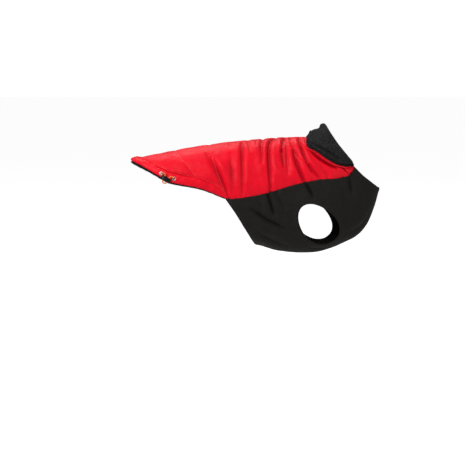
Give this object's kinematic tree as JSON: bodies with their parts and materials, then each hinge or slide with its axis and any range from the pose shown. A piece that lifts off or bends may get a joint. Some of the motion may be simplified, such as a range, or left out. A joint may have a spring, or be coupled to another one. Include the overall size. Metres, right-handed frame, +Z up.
{
  "type": "dog jacket",
  "caption": "Worn dog jacket, empty: red puffer back, black softshell chest with armholes, black fleece turned-down collar and a corded rear hem.",
  "frame": {"origin": "inner face of the back panel on the spine at the withers, where the wearer's back carries the jacket", "axes": "+X forward to the neck, +Y to the wearer's left, +Z up"},
  "size_m": [0.548, 0.1754, 0.287],
  "materials": {
    "red_nylon": "satin woven nylon shell",
    "black_softshell": "matte stretch softshell",
    "black_fleece": "short pile fleece",
    "nickel": "nickel plated",
    "black_plastic": "moulded, slightly glossy",
    "orange_cord": "braided elastic cord"
  },
  "bodies": {
    "root": {"back_panel": "red_nylon", "hem_casing": "red_nylon", "collar_edge": "red_nylon", "chest_right": "black_softshell", "chest_left": "black_softshell", "hem_facing": "black_fleece", "collar": "black_fleece", "eyelet_rear": "nickel", "eyelet_front": "nickel", "cord_lock": "black_plastic", "drawcord": "orange_cord"}
  },
  "joints": []
}
